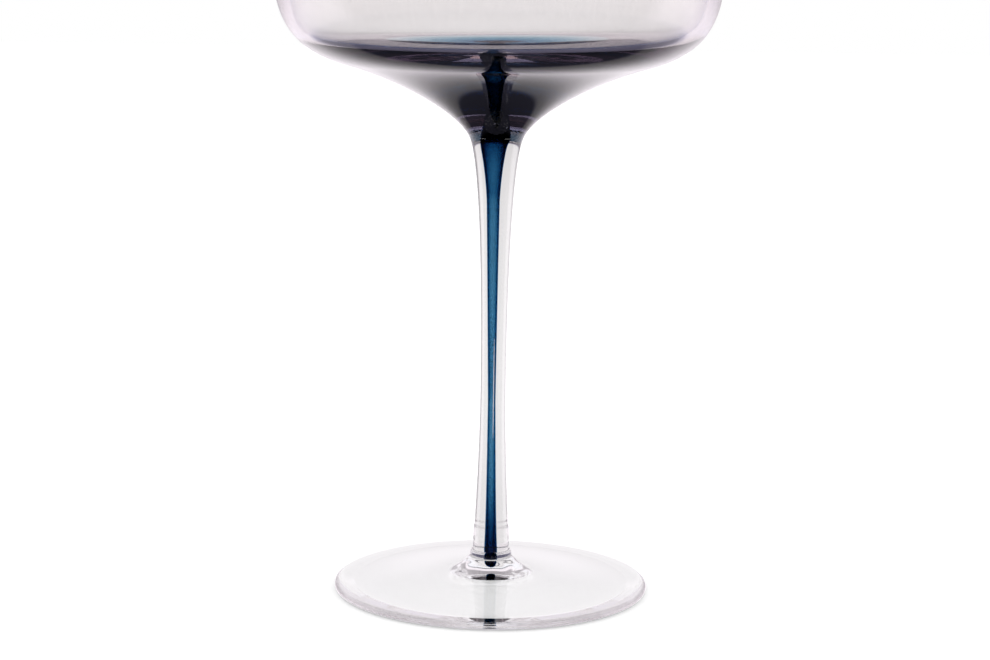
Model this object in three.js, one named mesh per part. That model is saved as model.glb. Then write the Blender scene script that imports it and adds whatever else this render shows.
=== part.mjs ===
import * as THREE from 'three';

// A long-stemmed cocktail coupe in hot-joined glass: a pale smoke bowl with a thick base,
// a clear drawn stem cased round a blue core, a small collar and a broad foot.
// Sizes are in millimetres. The axis is +Z and the glass stands on z = 0.

// Foot
const footDiameter = 76;
const footEdge = 2.7;
const footCrown = 4.3;
const footHollow = 0.7;
const standRing = 6.5;
const standInset = 1.6;
const bossDiameter = 21;
const bossShoulder = 12.6;
const bossRise = 3.4;

// Collar between boss and stem
const collarDiameter = 10;
const collarHeight = 1.8;

// Stem
const stemLength = 100.5;
const stemFootDiameter = 8.7;
const stemWaistDiameter = 6.04;
const stemWaistRise = 40.5;
const neckDiameter = 12.96;
const neckLean = 26;

// Bowl
const neckRise = 16.8;
const ringDiameter = 72;
const ringSlope = 15.5;
const baseThickness = 3.6;
const bowlDepth = 41.6;
const bowlDiameter = 105.8;
const bellyDrop = 22;
const bellyWall = 3.5;
const rimDiameter = 104.4;
const rimWall = 1.8;
const neckReach = 6.1;
const underReach = 13.8;
const cornerReach = 12;
const bellyReach = 13.7;
const insideReach = 14.8;
const floorReach = 19;

// Blue core and the thin blue lining it spreads into on the bowl floor
const coreSink = 2.6;
const coreFootDiameter = 2.1;
const coreWaistDiameter = 1.1;
const coreShankDiameter = 2.1;
const shankDrop = 15;
const coreNeckDiameter = 4.5;
const coreThroatDiameter = 3;
const throatRise = 11.5;
const flareDiameter = 7.2;
const flareDrop = 1.6;
const liningDiameter = 53;
const liningThickness = 0.5;
const liningEdge = 0.35;
const liningDish = 1.5;

// Space left between pieces that are fused along a round wall
const fuseGap = 0.1;

// Facets round the axis, shared by every piece so that facing walls run parallel
const facets = 44;

// Heights that follow from the stack: foot, collar, stem, bowl
const bossTop = footCrown + bossRise;
const stemFoot = bossTop + collarHeight;
const stemWaist = stemFoot + stemWaistRise;
const seam = stemFoot + stemLength;
const ring = seam + neckRise;
const floor = ring + baseThickness;
const bed = floor - liningDish;
const rim = floor + bowlDepth;
const belly = rim - bellyDrop;
const shank = seam - shankDrop;
const throat = seam + throatRise;
const flareTop = bed - flareDrop;
const coreTip = bossTop - coreSink;

const at = (r, z) => new THREE.Vector2(r, z);

function bend(from, pull, push, to, steps) {
  return new THREE.CubicBezierCurve(from, pull, push, to).getPoints(steps);
}

function arc(r, z, radius, fromDegrees, toDegrees, steps) {
  const turn = THREE.MathUtils.degToRad;
  const curve = new THREE.EllipseCurve(
    r, z, radius, radius, turn(fromDegrees), turn(toDegrees), toDegrees < fromDegrees);
  return curve.getPoints(steps);
}

function shifted(points, dr, dz) {
  return points.map((p, i) => at(p.x + dr, p.y + dz * i / (points.length - 1)));
}

function turned(name, outline, look) {
  const points = outline.filter((p, i) => i === 0 || p.distanceTo(outline[i - 1]) > 1e-4);
  const geometry = new THREE.LatheGeometry(points, facets);
  geometry.rotateX(Math.PI / 2);
  const mesh = new THREE.Mesh(geometry, new THREE.MeshStandardMaterial(look));
  mesh.name = name;
  return mesh;
}

// Core outline, foot to lining: round tip, drawn rod with a slim waist, swollen neck,
// throat, flare and a thin lining laid in a shallow dish in the bowl's floor
const coreFoot = coreFootDiameter / 2;
const tipArc = arc(0, coreTip + coreFoot, coreFoot, -90, 0, 5);
const rodInBoss = [at(coreFoot, coreTip + coreFoot), at(coreFoot, bossTop)];
const rodInCollar = [at(coreFoot, bossTop), at(coreFoot, stemFoot)];
const rodLower = bend(
  at(coreFoot, stemFoot),
  at(coreFoot, stemFoot + stemWaistRise / 3),
  at(coreWaistDiameter / 2, stemWaist - stemWaistRise / 3),
  at(coreWaistDiameter / 2, stemWaist),
  4);
const rodUpper = bend(
  at(coreWaistDiameter / 2, stemWaist),
  at(coreWaistDiameter / 2, stemWaist + stemWaistRise / 3),
  at(coreShankDiameter / 2, shank - stemWaistRise / 3),
  at(coreShankDiameter / 2, shank),
  4);
const rodNeck = bend(
  at(coreShankDiameter / 2, shank),
  at(coreShankDiameter / 2, shank + neckReach),
  at(coreThroatDiameter / 2, seam - neckReach / 2),
  at(coreNeckDiameter / 2, seam),
  5);
const rodInBowl = bend(
  at(coreNeckDiameter / 2, seam),
  at(coreNeckDiameter / 2, seam + neckReach / 2),
  at(coreThroatDiameter / 2, throat - neckReach),
  at(coreThroatDiameter / 2, throat),
  4);
const flare = bend(
  at(coreThroatDiameter / 2, throat),
  at(coreThroatDiameter / 2, throat + neckReach / 2),
  at(flareDiameter / 3, flareTop - flareDrop / 2),
  at(flareDiameter / 2, flareTop),
  4);
const liningUnder = bend(
  at(flareDiameter / 2, flareTop),
  at(flareDiameter * 2 / 3, flareTop + flareDrop / 2),
  at(liningDiameter / 4, bed - liningThickness),
  at(liningDiameter / 2, floor - liningEdge),
  6);
const liningOver = bend(
  at(liningDiameter / 2, floor),
  at(liningDiameter / 3, floor - liningDish * 2 / 3),
  at(liningDiameter / 6, bed),
  at(0, bed),
  5);

const core = turned('colour_core', [
  ...tipArc,
  ...rodInBoss,
  ...rodInCollar,
  ...rodLower,
  ...rodUpper,
  ...rodNeck,
  ...rodInBowl,
  ...flare,
  ...liningUnder,
  ...liningOver,
], { color: 0x12507a, roughness: 0.05, metalness: 0 });

// Bowl: S-curved underside, swelling wall, fire-polished lip, flat floor round the lining's dish
const slope = THREE.MathUtils.degToRad(ringSlope);
const lean = THREE.MathUtils.degToRad(neckLean);
const neckPull = at(Math.sin(lean), Math.cos(lean));
const ringPull = at(Math.cos(slope), Math.sin(slope));
const neckEdge = at(neckDiameter / 2, seam);
const ringEdge = at(ringDiameter / 2, ring);
const bellyOut = at(bowlDiameter / 2, belly);
const bellyIn = at(bowlDiameter / 2 - bellyWall, belly);
const lip = rimWall / 2;
const lipCentre = at(rimDiameter / 2 - lip, rim - lip);
const floorEdge = at(liningDiameter / 2 + fuseGap, floor);
const bowlBore = [
  ...shifted(liningUnder, fuseGap, -fuseGap).reverse(),
  ...shifted(flare, fuseGap, 0).reverse(),
  ...shifted(rodInBowl, fuseGap, 0).reverse(),
];

const bowl = turned('bowl', [
  neckEdge,
  ...bend(
    neckEdge,
    at(neckEdge.x + neckPull.x * neckReach, neckEdge.y + neckPull.y * neckReach),
    at(ringEdge.x - ringPull.x * underReach, ringEdge.y - ringPull.y * underReach),
    ringEdge,
    10),
  ...bend(
    ringEdge,
    at(ringEdge.x + ringPull.x * cornerReach, ringEdge.y + ringPull.y * cornerReach),
    at(bellyOut.x, belly - bellyReach),
    bellyOut,
    9),
  ...bend(
    bellyOut,
    at(bellyOut.x, belly + bellyDrop / 3),
    at(rimDiameter / 2, rim - bellyDrop / 3),
    at(rimDiameter / 2, rim - lip),
    4),
  ...arc(lipCentre.x, lipCentre.y, lip, 0, 180, 6),
  ...bend(
    at(lipCentre.x - lip, rim - lip),
    at(lipCentre.x - lip, rim - bellyDrop / 3),
    at(bellyIn.x, belly + bellyDrop / 3),
    bellyIn,
    4),
  ...bend(
    bellyIn,
    at(bellyIn.x, belly - insideReach),
    at(floorEdge.x + floorReach, floor),
    floorEdge,
    9),
  ...bowlBore,
  neckEdge,
], { color: 0xcfc9cb, roughness: 0.05, metalness: 0, transparent: true, opacity: 0.4 });

// Stem casing: clear sleeve drawn slim at the waist, its bore following the core
const casing = turned('stem_casing', [
  at(stemFootDiameter / 2, stemFoot),
  ...bend(
    at(stemFootDiameter / 2, stemFoot),
    at(stemFootDiameter / 2, stemFoot + collarHeight * 2),
    at(stemWaistDiameter / 2, stemWaist - stemWaistRise / 2),
    at(stemWaistDiameter / 2, stemWaist),
    5),
  ...bend(
    at(stemWaistDiameter / 2, stemWaist),
    at(stemWaistDiameter / 2, stemWaist + stemWaistRise * 0.63),
    at(neckEdge.x - neckPull.x * neckReach, seam - neckPull.y * neckReach),
    neckEdge,
    10),
  ...shifted(rodNeck, fuseGap, 0).reverse(),
  ...shifted(rodUpper, fuseGap, 0).reverse(),
  ...shifted(rodLower, fuseGap, 0).reverse(),
  at(stemFootDiameter / 2, stemFoot),
], { color: 0xe6e4e6, roughness: 0.05, metalness: 0, transparent: true, opacity: 0.35 });

// Collar: a flattened bead that joins the stem to the boss
const collarOut = collarDiameter / 2;
const collarIn = stemFootDiameter / 2;
const collar = turned('stem_collar', [
  at(collarIn, bossTop),
  ...bend(
    at(collarIn, bossTop),
    at(collarOut + (collarOut - collarIn) / 3, bossTop),
    at(collarOut + (collarOut - collarIn) / 3, stemFoot),
    at(collarIn, stemFoot),
    8),
  ...shifted(rodInCollar, fuseGap, 0).reverse(),
  at(collarIn, bossTop),
], { color: 0xe6e4e6, roughness: 0.05, metalness: 0, transparent: true, opacity: 0.35 });

// Foot: thin disc with a rounded edge, domed boss with a socket for the core's tip,
// and a hollowed underside that leaves a flat ring to stand on
const footOut = footDiameter / 2;
const edgeRadius = footEdge / 2;
const standOut = footOut - standInset;
const standIn = standOut - standRing;
const socket = coreFoot + fuseGap;
const foot = turned('foot', [
  at(0, footHollow),
  ...bend(
    at(0, footHollow),
    at(standIn / 2, footHollow),
    at(standIn - standRing, 0),
    at(standIn, 0),
    5),
  at(standOut, 0),
  ...bend(
    at(standOut, 0),
    at(footOut - edgeRadius / 4, 0),
    at(footOut, edgeRadius / 2),
    at(footOut, edgeRadius),
    4),
  ...arc(footOut - edgeRadius, edgeRadius, edgeRadius, 0, 80, 5),
  ...bend(
    at(bossDiameter / 2, footCrown),
    at(bossDiameter / 2 - bossRise, footCrown + bossRise / 4),
    at(bossShoulder / 2, bossTop - bossRise / 4),
    at(bossShoulder / 2 - bossRise / 3, bossTop),
    7),
  at(socket, bossTop),
  ...arc(0, coreTip + coreFoot, socket, 0, -90, 5),
], { color: 0xf0eeef, roughness: 0.05, metalness: 0, transparent: true, opacity: 0.3 });

const coupe = new THREE.Group();
coupe.add(bowl, core, casing, collar, foot);

export default coupe;
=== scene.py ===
import math

import bpy
import numpy as np
from mathutils import Matrix


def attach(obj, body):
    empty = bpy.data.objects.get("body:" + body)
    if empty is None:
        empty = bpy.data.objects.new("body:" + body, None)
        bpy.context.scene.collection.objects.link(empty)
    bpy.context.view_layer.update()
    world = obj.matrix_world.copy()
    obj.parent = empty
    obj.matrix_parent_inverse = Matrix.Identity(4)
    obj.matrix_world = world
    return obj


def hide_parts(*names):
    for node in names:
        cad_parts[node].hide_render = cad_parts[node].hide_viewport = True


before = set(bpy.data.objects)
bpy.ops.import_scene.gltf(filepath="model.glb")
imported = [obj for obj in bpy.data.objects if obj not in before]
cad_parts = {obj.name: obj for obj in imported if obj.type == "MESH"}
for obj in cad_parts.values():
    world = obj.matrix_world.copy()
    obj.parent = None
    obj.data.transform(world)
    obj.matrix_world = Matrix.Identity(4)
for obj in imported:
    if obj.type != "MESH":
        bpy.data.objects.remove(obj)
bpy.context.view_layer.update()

scene = bpy.context.scene
mm = 0.001                  # sizes below are in millimetres, meshes in metres
print("frame loaded:", sorted(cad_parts))


# outlines: runs of (radius, height) points; the last number given to a run is its count of steps

def bend(start, pull, push, end, steps):
    # cubic curve that leaves start towards pull and reaches end from push
    t = np.linspace(0, 1, steps + 1)[:, None]
    p = [np.array(q, float) for q in (start, pull, push, end)]
    return (1 - t)**3 * p[0] + 3 * (1 - t)**2 * t * p[1] + 3 * (1 - t) * t**2 * p[2] + t**3 * p[3]


def arc(centre, radius, fromDeg, toDeg, steps):
    # centre plus radius times the cosine and sine of an angle that goes evenly from one value to the other
    a = np.radians(np.linspace(fromDeg, toDeg, steps + 1))
    return np.column_stack([centre[0] + radius * np.cos(a), centre[1] + radius * np.sin(a)])


def line(start, end, steps):
    # evenly spaced points on a straight run
    t = np.linspace(0, 1, steps + 1)[:, None]
    return np.array(start, float) + t * (np.array(end, float) - np.array(start, float))


def along(angleDeg):
    # cosine and sine: a unit step at an angle above the outward radius
    return np.array([math.cos(math.radians(angleDeg)), math.sin(math.radians(angleDeg))])


def rise(x, low, high):
    # smooth step: 3 t squared - 2 t cubed, where t goes from 0 at low to 1 at high
    t = np.clip((x - low) / (high - low), 0, 1)
    return t * t * (3 - 2 * t)


# heights shared by the pieces, from the table up
stack = dict(bossTop=7.7, stemFoot=9.5, waist=46.0, seam=110.0,
             ring=126.8, floor=130.4, belly=150.0, rim=172.0)
fuse = 0.02                 # hair between two glasses that are joined
polished, joint = 0, 1      # a joint is where two glasses ran into one another

# traces of the making; a pair is where a trace begins and where it is full; a wave is (count, share, turn)
hand = dict(lean=-0.0041, leanHigh=(118.0, 107.0), leanSkin=(2.95, 2.0),
            lump=0.022, lumpLow=(4.0, 5.2), lumpHigh=(7.5, 6.5), lumpSkin=(4.5, 6.0),
            waves=[(3, 1.0, 0.8), (5, 0.7, -1.1), (8, 0.6, 2.0)],
            step=0.14, stepHigh=(16.0, 15.1), stepLow=(stack["stemFoot"], 13.5), stepSkin=(2.0, 3.0),
            tilt=0.0079, tiltLow=(120.0, 126.0), tiltHigh=(150.0, 134.0))


def handWork(grid):
    # the core leans sideways by lean times its height, easing off in the bowl and towards the skin;
    # the boss swells and dips by a sum of cosines round it, and the stem is a step fuller near its foot
    x, y, z = grid[..., 0], grid[..., 1], grid[..., 2]
    r = np.hypot(x, y)
    a = np.arctan2(y, x)
    lean = hand["lean"] * z * rise(z, *hand["leanHigh"]) * rise(r, *hand["leanSkin"])
    wave = sum(share * np.cos(count * a + turn) for count, share, turn in hand["waves"])
    boss = rise(z, *hand["lumpLow"]) * rise(z, *hand["lumpHigh"]) * rise(r, *hand["lumpSkin"])
    heel = rise(z, *hand["stepHigh"]) * rise(z, *hand["stepLow"]) * rise(r, *hand["stepSkin"])
    swell = 1 + hand["lump"] * wave * boss + hand["step"] * heel / np.maximum(r, hand["stepSkin"][0])
    return np.stack([x * swell + lean, y * swell, z], axis=-1)


def insideWork(grid):
    # as handWork, and the bowl's floor is out of level: it rises by tilt times x, fading up the wall and
    # down the core
    grid = handWork(grid)
    x, z = grid[..., 0], grid[..., 2]
    share = rise(z, *hand["tiltLow"]) * rise(z, *hand["tiltHigh"])
    return np.stack([x, grid[..., 1], z + hand["tilt"] * x * share], axis=-1)


# turned glass
poleSize = 1e-12            # a ring smaller than this, in metres, is a pole
weldDigits = 9              # points that agree to this many decimals of a metre are one


def gridNormals(grid):
    # (step round the axis) x (step along the outline), by central differences; a pole sums its neighbours
    step = np.gradient(grid, axis=0, edge_order=2 if len(grid) > 2 else 1)
    spin = np.roll(grid, -1, axis=1) - np.roll(grid, 1, axis=1)
    n = np.cross(spin, step)
    for end, beside in ((0, 1), (-1, -2)):
        if np.abs(spin[end]).max() < poleSize:
            n[end] = n[beside].sum(axis=0)
    return n / np.linalg.norm(n, axis=2, keepdims=True)


def marked(kind, *runs):
    # each run paired with the kind of its faces, polished or joint
    return [(run, kind) for run in runs]


def turned(runs, spokes, shape=handWork):
    # a point is (r cos a, r sin a, z) for an outline point (r, z) and an angle a, moved by shape;
    # each run keeps its own normals, so that two runs meet in a crisp edge
    a = np.arange(spokes) * 2 * np.pi / spokes
    points, corners, normals, joints = [], [], [], []
    used = 0
    for outline, kind in runs:
        r, z = outline[:, :1], outline[:, 1:]
        grid = mm * shape(np.stack([r * np.cos(a), r * np.sin(a), z + 0 * a], axis=2))
        n = gridNormals(grid)
        i, j = np.divmod(np.arange((len(outline) - 1) * spokes), spokes)
        after = (j + 1) % spokes
        ring = used + i * spokes
        corners.append(np.stack([ring + j, ring + after, ring + spokes + after, ring + spokes + j], axis=1))
        normals.append(np.stack([n[i, j], n[i, after], n[i + 1, after], n[i + 1, j]], axis=1))
        joints.append(np.full(len(i), kind, np.float32))
        points.append(grid.reshape(-1, 3))
        used += grid.shape[0] * spokes
    return [np.concatenate(part) for part in (points, corners, normals, joints)]


def addPiece(name, node, look, shells):
    # shells of turned glass, welded where points meet; a face that closes on a pole becomes a triangle
    starts = np.cumsum([0] + [len(shell[0]) for shell in shells[:-1]])
    points = np.concatenate([shell[0] for shell in shells])
    corners = np.concatenate([shell[1] + start for shell, start in zip(shells, starts)])
    normals = np.concatenate([shell[2] for shell in shells])
    joints = np.concatenate([shell[3] for shell in shells])
    places, index = np.unique(np.round(points, weldDigits), axis=0, return_inverse=True)
    corners = index.reshape(-1)[corners]
    low = corners[:, 0] == corners[:, 1]
    high = corners[:, 2] == corners[:, 3]
    whole = ~(low | high)
    parts = ((whole, [0, 1, 2, 3]), (low, [0, 2, 3]), (high, [0, 1, 2]))
    faces = sum([corners[which][:, keep].tolist() for which, keep in parts], [])
    mesh = bpy.data.meshes.new(name)
    mesh.from_pydata(places.tolist(), [], faces)
    mesh.materials.append(look)
    hotJoint = mesh.attributes.new("hotJoint", "FLOAT", "FACE")
    hotJoint.data.foreach_set("value", np.concatenate([joints[which] for which, keep in parts]))
    mesh.polygons.foreach_set("use_smooth", np.ones(len(faces), bool))
    loops = np.concatenate([normals[which][:, keep].reshape(-1, 3) for which, keep in parts])
    mesh.normals_split_custom_set(loops.tolist())
    mesh.update()
    piece = bpy.data.objects.new(name, mesh)
    scene.collection.objects.link(piece)
    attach(piece, "root")
    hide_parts(node)
    print(name + ":", len(faces), "faces")


# shader helpers

def addNode(tree, kind, **values):
    # a new shader node with some of its properties set
    node = tree.nodes.new("ShaderNode" + kind)
    for key, value in values.items():
        setattr(node, key, value)
    return node


def link(tree, source, target):
    # a socket takes a plain number or another node's output
    if isinstance(source, (int, float)):
        target.default_value = source
    else:
        tree.links.new(source, target)


def fade(tree, value, low, high, fromValue, toValue):
    # smooth step from one value to another, as value goes from low to high
    node = addNode(tree, "MapRange", interpolation_type="SMOOTHSTEP")
    for k, v in enumerate((value, low, high, fromValue, toValue)):
        link(tree, v, node.inputs[k])
    return node.outputs[0]


def pick(tree, chooser, off, on):
    # off where the chooser is 0, on where it is 1
    node = addNode(tree, "Mix", data_type="FLOAT")
    for k, v in ((0, chooser), (2, off), (3, on)):
        link(tree, v, node.inputs[k])
    return node.outputs[0]


def blend(tree, chooser, off, on):
    # one colour where the chooser is 0, the other where it is 1
    node = addNode(tree, "Mix", data_type="RGBA")
    link(tree, chooser, node.inputs[0])
    for socket, colour in ((node.inputs[6], off), (node.inputs[7], on)):
        if isinstance(colour, tuple):
            socket.default_value = (*colour, 1)
        else:
            link(tree, colour, socket)
    return node.outputs[2]


def combine(tree, how, a, b, clamp=False):
    # arithmetic on two values, kept between 0 and 1 if clamp is set
    node = addNode(tree, "Math", operation=how, use_clamp=clamp)
    link(tree, a, node.inputs[0])
    link(tree, b, node.inputs[1])
    return node.outputs[0]


def product(tree, first, *others):
    # all the values multiplied together
    for other in others:
        first = combine(tree, "MULTIPLY", first, other)
    return first


def layer(tree, chooser, under, over):
    # one shader where the chooser is 0, the other where it is 1
    node = addNode(tree, "MixShader")
    for k, v in enumerate((chooser, under, over)):
        link(tree, v, node.inputs[k])
    return node.outputs[0]


# glass
glassIor = 1.5


def drawnNoise(tree, place, stretch, detail):
    # noise at the piece's own coordinates, each multiplied by its share of stretch
    scaled = addNode(tree, "Mapping")
    scaled.inputs["Scale"].default_value = stretch
    link(tree, place, scaled.inputs["Vector"])
    noise = addNode(tree, "TexNoise")
    noise.inputs["Scale"].default_value = 1
    noise.inputs["Detail"].default_value = detail
    link(tree, scaled.outputs[0], noise.inputs["Vector"])
    return noise.outputs[0]


def streaks(tree, place, highlightStreaks):
    # painted highlight: white along the streaks, dimmed a little between them, and plain below the wall
    axes = addNode(tree, "SeparateXYZ")
    link(tree, place, axes.inputs[0])
    gap = fade(tree, drawnNoise(tree, place, highlightStreaks["stretch"], highlightStreaks["detail"]), *highlightStreaks["edge"], 1.0, 0.0)
    wall = fade(tree, axes.outputs["Z"], highlightStreaks["low"] * mm, highlightStreaks["high"] * mm, 0.0, 1.0)
    return blend(tree, product(tree, gap, wall), (1, 1, 1), (highlightStreaks["dim"],) * 3)


def glassLook(name, density, tint, rimStart, rimShade, ripple, stretch, gloss=1.0, highlightStreaks=None, deep=None):
    # polished skin over a tinted body: light fades by density x (1 - tint) for each metre of glass;
    # painted shade: the skin is darkened to the rim colour towards its outline, from where facing passes
    # rimStart, and a noise drawn out by stretch gives it a slight ripple;
    # gloss is the share of the mirror that it keeps; light goes straight on through faces marked hotJoint;
    # the streak argument paints highlights: fine upright streaks on the wall, bright where a long thin noise
    # is high;
    # painted shade: light that has been mirrored more than once is darkened and tinted to the colour deep as
    # it leaves the glass
    look = bpy.data.materials.new(name)
    look.use_nodes = True
    tree = look.node_tree
    tree.nodes.clear()
    out = addNode(tree, "OutputMaterial")
    place = addNode(tree, "TexCoord").outputs["Object"]
    skin = addNode(tree, "BsdfPrincipled")
    skin.inputs["Roughness"].default_value = 0
    skin.inputs["IOR"].default_value = glassIor
    skin.inputs["Transmission Weight"].default_value = 1
    # painted shade: the skin's colour darkens towards its outline, where the surface turns away
    facing = addNode(tree, "LayerWeight")
    rimShadeShare = fade(tree, facing.outputs["Facing"], rimStart, 1.0, 0.0, 1.0)
    colour = blend(tree, rimShadeShare, streaks(tree, place, highlightStreaks) if highlightStreaks else (1, 1, 1), rimShade)
    # painted shade: where Glossy Depth is 2 or more the skin's colour goes to the dark colour deep
    if deep:
        rays = addNode(tree, "LightPath")
        often = combine(tree, "SUBTRACT", rays.outputs["Glossy Depth"], 1.0, clamp=True)
        colour = blend(tree, often, colour, deep)
    link(tree, colour, skin.inputs["Base Color"])
    bump = addNode(tree, "Bump")
    bump.inputs["Strength"].default_value = 1
    bump.inputs["Distance"].default_value = ripple * mm
    link(tree, drawnNoise(tree, place, stretch, 1), bump.inputs["Height"])
    link(tree, bump.outputs[0], skin.inputs["Normal"])
    dull = addNode(tree, "BsdfRefraction")
    dull.inputs["IOR"].default_value = glassIor
    dull.inputs["Roughness"].default_value = 0
    link(tree, bump.outputs[0], dull.inputs["Normal"])
    face = layer(tree, gloss, dull.outputs[0], skin.outputs[0])
    fused = addNode(tree, "Attribute", attribute_name="hotJoint")
    through = addNode(tree, "BsdfTransparent")
    body = addNode(tree, "VolumeAbsorption")
    body.inputs["Density"].default_value = density
    body.inputs["Color"].default_value = (*tint, 1)
    link(tree, layer(tree, fused.outputs["Fac"], face, through.outputs[0]), out.inputs["Surface"])
    link(tree, body.outputs[0], out.inputs["Volume"])
    return look


# painted highlight: bright upright streaks on the upper wall of the bowl
wallHighlightStreaks = dict(stretch=(900, 900, 45), detail=2, edge=(0.52, 0.62), dim=0.98, low=134.0, high=140.0)
# the rim colour of each glass below is a painted shade that darkens its skin towards the outline; the blue
# core's is white
smoke = dict(density=28.0, tint=(0.24, 0.0, 0.03), rimStart=0.6, rimShade=(0.5, 0.46, 0.48), ripple=0.012,
             stretch=(60, 60, 60), highlightStreaks=wallHighlightStreaks, deep=(0.13, 0.2, 0.4))
clear = dict(density=3.5, tint=(0.2, 0.0, 0.05), rimStart=0.9, rimShade=(0.75, 0.72, 0.75), ripple=0.006,
             stretch=(120, 120, 40))
drawn = dict(density=28.0, tint=(0.1, 0.0, 0.03), rimStart=0.6, rimShade=(0.55, 0.53, 0.55), ripple=0.002,
             stretch=(60, 60, 12))
blue = dict(density=6500, tint=(0.0, 0.447, 0.639), rimStart=0.62, rimShade=(1, 1, 1), ripple=0.0,
            stretch=(60, 60, 60), gloss=0.35)
smokeGlass = glassLook("smokeGlass", **smoke)
clearGlass = glassLook("clearGlass", **clear)
drawnGlass = glassLook("drawnGlass", **drawn)
blueGlass = glassLook("blueGlass", **blue)
print("glass mixed")


# blue core: a blue tube round a clear thread, drawn from the boss up to the bowl, where it opens into
# a thin lining laid in a shallow dish in the bowl's floor; pulls are (radius, height)
core = dict(tip=3.6, foot=1.05, waist=0.62, shank=1.05, shankZ=95.0,
            neck=2.35, neckSwell=0.3, neckReach=2.7, throat=2.0, throatRise=11.5, throatReach=5.4,
            flare=4.2, flareDrop=1.6, flareReach=3.6, flareIn=1.2, flareSink=0.8,
            spread=0.8, spreadSink=0.3, spreadEnd=6.5, mouth=26.5, dish=2.0, spokes=96,
            lining=0.46, liningEdge=0.02, liningStart=8.0, liningFall=1.4,
            lowPulls=((0.8, 17), (0.72, 30)), midPulls=((0.7, 58), (0.88, 80)),
            highPulls=((1.25, 101), (1.75, 106)))
thread = dict(foot=4.6, footSwell=0.75, footRise=0.6, lowPush=(0.48, 33), slim=(0.38, 49.0),
              midPulls=((0.44, 57), (0.7, 80)), neck=(0.8, 97.0), highPulls=((1.05, 101.5), (1.4, 105.5)),
              shoulder=(1.7, 108.6), capPull=(1.85, 110.2), capPush=1.0, top=111.4)


def dished(r):
    # inside floor of the bowl: a shallow parabola sunk below the flat floor round it
    return stack["floor"] - core["dish"] * (1 - (r / core["mouth"])**2)


tipCentre = (0, core["tip"] + core["foot"])
waistAt = (core["waist"], stack["waist"])
shankAt = (core["shank"], core["shankZ"])
neckAt = (core["neck"], stack["seam"])
throatZ = stack["seam"] + core["throatRise"]
throatAt = (core["throat"], throatZ)
bed = stack["floor"] - core["dish"]
flareZ = bed - core["flareDrop"]
flareAt = (core["flare"], flareZ)
rodTip = arc(tipCentre, core["foot"], -90, 0, 8)
rodFoot = line((core["foot"], tipCentre[1]), (core["foot"], stack["bossTop"]), 2)
rodCollar = line((core["foot"], stack["bossTop"]), (core["foot"], stack["stemFoot"]), 2)
rodLow = bend((core["foot"], stack["stemFoot"]), *core["lowPulls"], waistAt, 60)
rodMid = bend(waistAt, *core["midPulls"], shankAt, 60)
rodHigh = bend(shankAt, *core["highPulls"], neckAt, 40)
rodBowl = bend(neckAt, (core["neck"] + core["neckSwell"], stack["seam"] + core["neckReach"]),
               (core["throat"], throatZ - core["throatReach"]), throatAt, 50)
flareLow = bend(throatAt, (core["throat"], throatZ + core["flareReach"]),
                (core["flare"] - core["flareIn"], flareZ - core["flareSink"]), flareAt, 40)
liningR = np.linspace(core["liningStart"], core["mouth"], 41)
liningShare = (1 - liningR / core["mouth"])**core["liningFall"]
liningWall = core["liningEdge"] + (core["lining"] - core["liningEdge"]) * liningShare
liningUnder = np.column_stack([liningR, dished(liningR) - liningWall])
flareHigh = bend(flareAt, (core["flare"] + core["spread"], bed - core["lining"] - core["spreadSink"]),
                 (core["spreadEnd"], liningUnder[0, 1]), liningUnder[0], 30)
liningLip = line(liningUnder[-1], (core["mouth"], stack["floor"]), 1)
dishR = np.linspace(core["mouth"], 0, 41)
dish = np.column_stack([dishR, dished(dishR)])
threadLow = bend((0, thread["foot"]), (thread["footSwell"], thread["foot"] + thread["footRise"]),
                 thread["lowPush"], thread["slim"], 32)
threadMid = bend(thread["slim"], *thread["midPulls"], thread["neck"], 30)
threadHigh = bend(thread["neck"], *thread["highPulls"], thread["shoulder"], 24)
threadCap = bend(thread["shoulder"], thread["capPull"],
                 (thread["capPush"], thread["top"]), (0, thread["top"]), 16)
coreRuns = [rodTip, rodFoot, rodCollar, rodLow, rodMid, rodHigh, rodBowl,
            flareLow, flareHigh, liningUnder, liningLip]
threadRuns = [run[::-1] for run in (threadCap, threadHigh, threadMid, threadLow)]     # from the top down
coreBody = turned(marked(joint, *coreRuns) + marked(polished, dish), core["spokes"], insideWork)
threadBody = turned(marked(joint, *threadRuns), core["spokes"])
addPiece("blueCore", "colour_core", blueGlass, [coreBody, threadBody])


def bore(run):
    # the wall round the core, a hair outside it and walked downwards
    return (run + [fuse, 0])[::-1]


# bowl: S-curved underside, swelling wall, fire-polished lip and a thick base with a flat floor round the dish
bowl = dict(neck=6.48, neckLean=64.0, neckReach=6.1, ring=36.0, ringSlope=15.5, underReach=13.8,
            cornerReach=12.0, belly=52.9, bellyReach=13.7, bellyWall=3.5, rim=52.2, rimWall=1.8,
            wallReach=7.0, innerReach=14.8, floorReach=19.0, spokes=192)
neckEdge = np.array([bowl["neck"], stack["seam"]])
ringEdge = np.array([bowl["ring"], stack["ring"]])
bellyOut = np.array([bowl["belly"], stack["belly"]])
bellyIn = bellyOut - [bowl["bellyWall"], 0]
lip = bowl["rimWall"] / 2
lipOut = np.array([bowl["rim"], stack["rim"] - lip])
lipIn = lipOut - [2 * lip, 0]
floorEdge = np.array([core["mouth"] + fuse, stack["floor"]])
bowlUnder = bend(neckEdge, neckEdge + along(bowl["neckLean"]) * bowl["neckReach"],
                 ringEdge - along(bowl["ringSlope"]) * bowl["underReach"], ringEdge, 90)
bowlCorner = bend(ringEdge, ringEdge + along(bowl["ringSlope"]) * bowl["cornerReach"],
                  bellyOut - [0, bowl["bellyReach"]], bellyOut, 90)
bowlWall = bend(bellyOut, bellyOut + [0, bowl["wallReach"]], lipOut - [0, bowl["wallReach"]], lipOut, 30)
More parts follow.
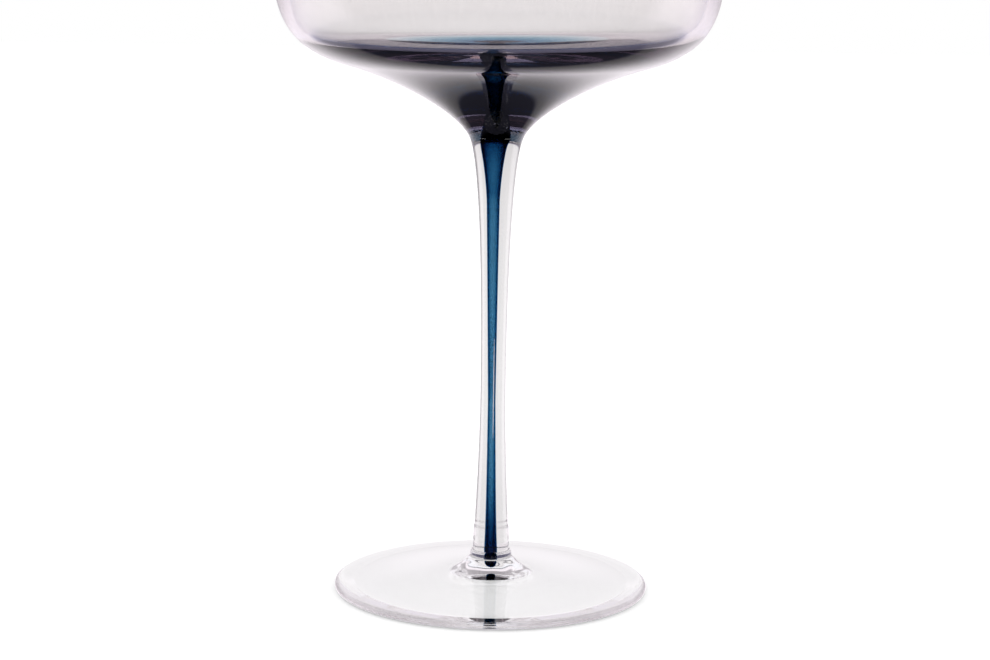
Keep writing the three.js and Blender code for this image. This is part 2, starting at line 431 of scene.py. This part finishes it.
bowlLip = arc(lipOut - [lip, 0], lip, 0, 180, 16)
bowlInside = bend(lipIn, lipIn - [0, bowl["wallReach"]], bellyIn + [0, bowl["wallReach"]], bellyIn, 30)
bowlFloor = bend(bellyIn, bellyIn - [0, bowl["innerReach"]],
                 floorEdge + [bowl["floorReach"], 0], floorEdge, 90)
bowlBores = [bore(run) for run in (liningLip, liningUnder, flareHigh, flareLow, rodBowl)]
bowlSeam = line((core["neck"] + fuse, stack["seam"]), neckEdge, 6)
bowlOutside = turned(marked(polished, bowlUnder, bowlCorner, bowlWall, bowlLip), bowl["spokes"])
bowlWithin = turned(marked(polished, bowlInside, bowlFloor) + marked(joint, *bowlBores, bowlSeam),
                    bowl["spokes"], insideWork)

# seeds: round bubbles left just under the skin of the base; a place is (sideways, height, radius)
seeds = dict(depth=0.6,
             places=[(-0.4, 114.0, 0.17), (0.45, 113.9, 0.14), (2.3, 113.0, 0.2), (-2.6, 116.3, 0.13),
                     (-4.4, 115.6, 0.13), (10.6, 117.6, 0.16), (-9.8, 119.2, 0.12), (6.4, 121.0, 0.1)])
bubbleSteps, bubbleSpokes = 8, 12


def bubble(x, y, z, radius, half):
    # a spindle of air: radius times a cosine wide and half times a sine tall; it is walked from its top down,
    # so that its faces look into the air
    a = np.radians(np.linspace(90, -90, bubbleSteps + 1))
    outline = np.column_stack([radius * np.cos(a), half * np.sin(a)])
    return turned(marked(polished, outline), bubbleSpokes, lambda grid: grid + [x, y, z])


def seed(x, z, radius):
    # a round bubble on the near side, depth below the underside's skin at its height
    skin = np.interp(z, bowlUnder[:, 1], bowlUnder[:, 0]) - seeds["depth"]
    return bubble(x, -math.sqrt(skin**2 - x**2), z, radius, radius)


bowlShells = [bowlOutside, bowlWithin] + [seed(*place) for place in seeds["places"]]
addPiece("bowlGlass", "bowl", smokeGlass, bowlShells)

# stem: clear casing drawn slim at the waist, its bore following the core
stem = dict(foot=4.35, waist=3.02, waistZ=50.0, footReach=3.6, waistLow=20.0, waistHigh=25.5, spokes=160)
needle = dict(x=0.1, y=-1.5, z=49.5, radius=0.08, half=13.0)      # drawn-out bubble in front of the core
stemTop = neckEdge - [0, fuse]
stemWaist = (stem["waist"], stem["waistZ"])
stemHeel = (stem["foot"], stack["stemFoot"] + fuse)
stemLow = bend(stemHeel, (stem["foot"], stack["stemFoot"] + stem["footReach"]),
               (stem["waist"], stem["waistZ"] - stem["waistLow"]), stemWaist, 140)
stemHigh = bend(stemWaist, (stem["waist"], stem["waistZ"] + stem["waistHigh"]),
                stemTop - along(bowl["neckLean"]) * bowl["neckReach"], stemTop, 90)
boreHigh, boreMid, boreLow = bore(rodHigh), bore(rodMid), bore(rodLow)
boreHigh[0, 1] -= fuse
boreLow[-1, 1] += fuse
topSeam = line(stemTop, boreHigh[0], 6)
heelSeam = line(boreLow[-1], stemHeel, 4)
stemSkin = marked(polished, stemLow, stemHigh)
stemJoints = marked(joint, topSeam, boreHigh, boreMid, boreLow, heelSeam)
stemBody = turned(stemSkin + stemJoints, stem["spokes"])
addPiece("stemGlass", "stem_casing", drawnGlass, [stemBody, bubble(**needle)])

# collar: flattened bead between stem and boss
collar = dict(radius=5.0, spokes=128)
collarPull = collar["radius"] + (collar["radius"] - stem["foot"]) / 3
collarLow = np.array([stem["foot"], stack["bossTop"] + fuse])
collarHigh = np.array([stem["foot"], stack["stemFoot"]])
collarBead = bend(collarLow, (collarPull, collarLow[1]), (collarPull, collarHigh[1]), collarHigh, 24)
boreCollar = bore(rodCollar)
boreCollar[-1, 1] += fuse
collarSeams = [line(collarHigh, boreCollar[0], 4), boreCollar, line(boreCollar[-1], collarLow, 4)]
collarBody = turned(marked(polished, collarBead) + marked(joint, *collarSeams), collar["spokes"])
addPiece("collarGlass", "stem_collar", drawnGlass, [collarBody])

# foot: thin disc with a rounded edge, a domed boss and a hollowed underside with a flat ring to stand on
foot = dict(radius=38.0, edge=1.9, edgeTurn=80, crown=4.3, hollow=2.0, standIn=33.0, standOut=35.0, boss=10.5,
            shoulder=6.3, bossRise=3.4, spokes=192)
edgeR = foot["edge"] / 2
bossAt = (foot["boss"], foot["crown"])
footHollow = bend((0, foot["hollow"]), (foot["standIn"] / 3, foot["hollow"]),
                  (foot["standIn"] * 2 / 3, foot["hollow"] / 3), (foot["standIn"], 0), 50)
footStand = line((foot["standIn"], 0), (foot["standOut"], 0), 4)
footHeel = bend((foot["standOut"], 0), (foot["radius"] - edgeR / 4, 0), (foot["radius"], edgeR / 2),
                (foot["radius"], edgeR), 16)
footEdge = arc((foot["radius"] - edgeR, edgeR), edgeR, 0, foot["edgeTurn"], 16)
footTop = line(footEdge[-1], bossAt, 40)
footBoss = bend(bossAt, (foot["boss"] - foot["bossRise"], foot["crown"] + foot["bossRise"] / 9),
                (foot["shoulder"], stack["bossTop"] - foot["bossRise"] / 4),
                (foot["shoulder"] - foot["bossRise"] / 3, stack["bossTop"]), 40)
footCrown = line(footBoss[-1], (stem["foot"], stack["bossTop"]), 4)
footSeam = line((stem["foot"], stack["bossTop"]), (core["foot"] + fuse, stack["bossTop"]), 4)
footSocket = np.concatenate([bore(rodFoot)[:-1], arc(tipCentre, core["foot"] + fuse, 0, -90, 8)])
footSkin = marked(polished, footHollow, footStand, footHeel, footEdge, footTop, footBoss, footCrown)
footBody = turned(footSkin + marked(joint, footSeam, footSocket), foot["spokes"])
addPiece("footGlass", "foot", clearGlass, [footBody])


# studio: a pale floor in a white room. Angles are degrees above the horizon, and an edge is a pair of places
# on the unit ball of directions between which a level changes

def climb(tree, height, fromDeg, toDeg, fromValue, toValue):
    # smooth step between two angles above the horizon: the height of a direction is the sine of its angle
    fromHeight, toHeight = (math.sin(math.radians(angle)) for angle in (fromDeg, toDeg))
    return fade(tree, height, fromHeight, toHeight, fromValue, toValue)


straightLight = dict(ceilingLow=17.0, ceilingFull=24.0, ceilingDim=0.034, ceilingTint=(0.75, 0.7, 1.0),
                     rightEdge=(0.74, 0.9), rightCard=0.2, leftEdge=(-0.92, -0.78), leftCard=0.55)


def straightGlow(tree, x, aloft):
    # the product of a ceiling, dark where aloft is 1, and of a grey card on each side
    light = straightLight
    ceiling = pick(tree, aloft, 1.0, light["ceilingDim"])
    right = fade(tree, x, *light["rightEdge"], 1.0, light["rightCard"])
    left = fade(tree, x, *light["leftEdge"], light["leftCard"], 1.0)
    return product(tree, ceiling, right, left)


outsideLight = dict(low=-46.0, full=-42.0, underfoot=0.3, rise=-20.0, dim=0.36, gain=1.5, top=-14.0, end=-2.0,
                    overhead=0.57, behindEdge=(-0.15, 0.15), behind=0.02, sideEdge=(0.45, 0.8), side=1.3)


def outsideGlow(tree, y, height):
    # a sweep that brightens from underfoot up to a band below the horizon and dims above that, brighter
    # to the sides and dark where the camera stands: the product of five smooth steps
    light = outsideLight
    under = climb(tree, height, light["low"], light["full"], light["underfoot"], 1.0)
    slope = climb(tree, height, light["low"], light["rise"], light["dim"], light["gain"])
    over = climb(tree, height, light["top"], light["end"], 1.0, light["overhead"])
    behind = fade(tree, y, *light["behindEdge"], light["behind"], 1.0)
    aside = fade(tree, y, *light["sideEdge"], light["side"], 1.0)
    return product(tree, under, slope, over, behind, aside)


onceLight = dict(low=-28.0, full=-20.0, dim=0.18, top=10.0, end=18.0, gain=1.1, above=0.42)
manyLight = dict(low=-46.0, full=-42.0, gain=1.1, top=26.0, end=34.0, dark=0.2)


def onceGlow(tree, height):
    # a bright band round the horizon, dim below it and less dim above it: the product of two smooth steps
    light = onceLight
    under = climb(tree, height, light["low"], light["full"], light["dim"], 1.0)
    over = climb(tree, height, light["top"], light["end"], light["gain"], light["above"])
    return product(tree, under, over)


def manyGlow(tree, height):
    # a broader band, dark below it and above it: the product of two smooth steps
    light = manyLight
    under = climb(tree, height, light["low"], light["full"], light["dark"], light["gain"])
    over = climb(tree, height, light["top"], light["end"], 1.0, light["dark"])
    return product(tree, under, over)


mirrorTints = dict(plain=(0.99, 0.93, 0.98), low=(0.7, 0.68, 1.0), deep=(0.93, 0.94, 1.0))


def makeWorld():
    # white to the eye and to the floor; light that has only passed through glass, that a skin has mirrored
    # on its outside, or that was mirrored within, once or more often, meets a level and a tint of its own
    world = bpy.data.worlds.new("sweep")
    scene.world = world
    world.use_nodes = True
    tree = world.node_tree
    tree.nodes.clear()
    out = addNode(tree, "OutputWorld")
    sky = addNode(tree, "Background")
    axes = addNode(tree, "SeparateXYZ")
    link(tree, addNode(tree, "TexCoord").outputs["Generated"], axes.inputs[0])
    x, y, height = axes.outputs["X"], axes.outputs["Y"], axes.outputs["Z"]
    rays = addNode(tree, "LightPath")
    passed = combine(tree, "MINIMUM", rays.outputs["Transmission Depth"], 1.0)
    bounced = combine(tree, "MINIMUM", rays.outputs["Glossy Depth"], 1.0)
    once = combine(tree, "SUBTRACT", 2.0, rays.outputs["Glossy Depth"], clamp=True)
    aloft = climb(tree, height, straightLight["ceilingLow"], straightLight["ceilingFull"], 0.0, 1.0)
    straight = pick(tree, passed, 1.0, straightGlow(tree, x, aloft))
    within = pick(tree, once, manyGlow(tree, height), onceGlow(tree, height))
    glow = pick(tree, bounced, straight, pick(tree, passed, outsideGlow(tree, y, height), within))
    link(tree, pick(tree, rays.outputs["Is Diffuse Ray"], glow, 1.0), sky.inputs["Strength"])
    steep = climb(tree, height, outsideLight["low"], outsideLight["full"], 1.0, 0.0)
    below = climb(tree, height, onceLight["low"], onceLight["full"], 1.0, 0.0)
    single = blend(tree, pick(tree, passed, steep, below), mirrorTints["plain"], mirrorTints["low"])
    several = combine(tree, "SUBTRACT", passed, once, clamp=True)
    mirrored = blend(tree, several, single, mirrorTints["deep"])
    unmirrored = blend(tree, product(tree, aloft, passed), (1, 1, 1), straightLight["ceilingTint"])
    link(tree, blend(tree, bounced, unmirrored, mirrored), sky.inputs["Color"])
    link(tree, sky.outputs[0], out.inputs["Surface"])


# lengths in metres
floorPlan = dict(half=3.0, drop=0.0002, paint=0.8, glow=0.42, near=0.02, far=0.05, mirrorings=3.0)


def makeFloor():
    # pale diffuse square with a little glow of its own; glass sees it white from near by, if the light was
    # not mirrored or was mirrored at least as often as mirrorings says, and otherwise looks past it
    h, z = floorPlan["half"], -floorPlan["drop"]
    mesh = bpy.data.meshes.new("floor")
    mesh.from_pydata([(-h, -h, z), (h, -h, z), (h, h, z), (-h, h, z)], [], [(0, 1, 2, 3)])
    floor = bpy.data.objects.new("floor", mesh)
    scene.collection.objects.link(floor)
    look = bpy.data.materials.new("paleFloor")
    look.use_nodes = True
    tree = look.node_tree
    tree.nodes.clear()
    out = addNode(tree, "OutputMaterial")
    paint = addNode(tree, "BsdfDiffuse")
    paint.inputs["Color"].default_value = (floorPlan["paint"],) * 3 + (1,)
    glow = addNode(tree, "Emission")
    glow.inputs["Strength"].default_value = floorPlan["glow"]
    lit = addNode(tree, "AddShader")
    link(tree, paint.outputs[0], lit.inputs[0])
    link(tree, glow.outputs[0], lit.inputs[1])
    rays = addNode(tree, "LightPath")
    distant = fade(tree, rays.outputs["Ray Length"], floorPlan["near"], floorPlan["far"], 0.0, 1.0)
    bounced = combine(tree, "MINIMUM", rays.outputs["Glossy Depth"], 1.0)
    few = combine(tree, "SUBTRACT", floorPlan["mirrorings"], rays.outputs["Glossy Depth"], clamp=True)
    away = combine(tree, "MAXIMUM", distant, product(tree, few, bounced))
    nearby, past = addNode(tree, "Emission"), addNode(tree, "BsdfTransparent")
    seen = layer(tree, away, nearby.outputs[0], past.outputs[0])
    glossy, transmitted = rays.outputs["Is Glossy Ray"], rays.outputs["Is Transmission Ray"]
    throughGlass = combine(tree, "MAXIMUM", glossy, transmitted)
    link(tree, layer(tree, throughGlass, lit.outputs[0], seen), out.inputs["Surface"])
    mesh.materials.append(look)


makeWorld()
makeFloor()
bounces = 48                # glass within glass needs many
for limit in ("max_bounces", "transmission_bounces", "glossy_bounces", "transparent_max_bounces"):
    setattr(scene.cycles, limit, bounces)
print("studio ready")

# camera: close, level with the bowl and tilted down towards the foot; place in metres
view = dict(place=(0.00027, -0.55, 0.1546), tiltDown=9.4, roll=0.81, sensor=36.0, lens=84.28, clipStart=0.01)
lens = bpy.data.cameras.new("camera")
lens.sensor_width = view["sensor"]
lens.lens = view["lens"]
lens.clip_start = view["clipStart"]
camera = bpy.data.objects.new("camera", lens)
scene.collection.objects.link(camera)
camera.location = view["place"]
tilt = Matrix.Rotation(math.radians(90 - view["tiltDown"]), 3, "X")
camera.rotation_euler = (tilt @ Matrix.Rotation(math.radians(view["roll"]), 3, "Z")).to_euler()
scene.camera = camera
scene.view_settings.view_transform = "Standard"
print("camera set")
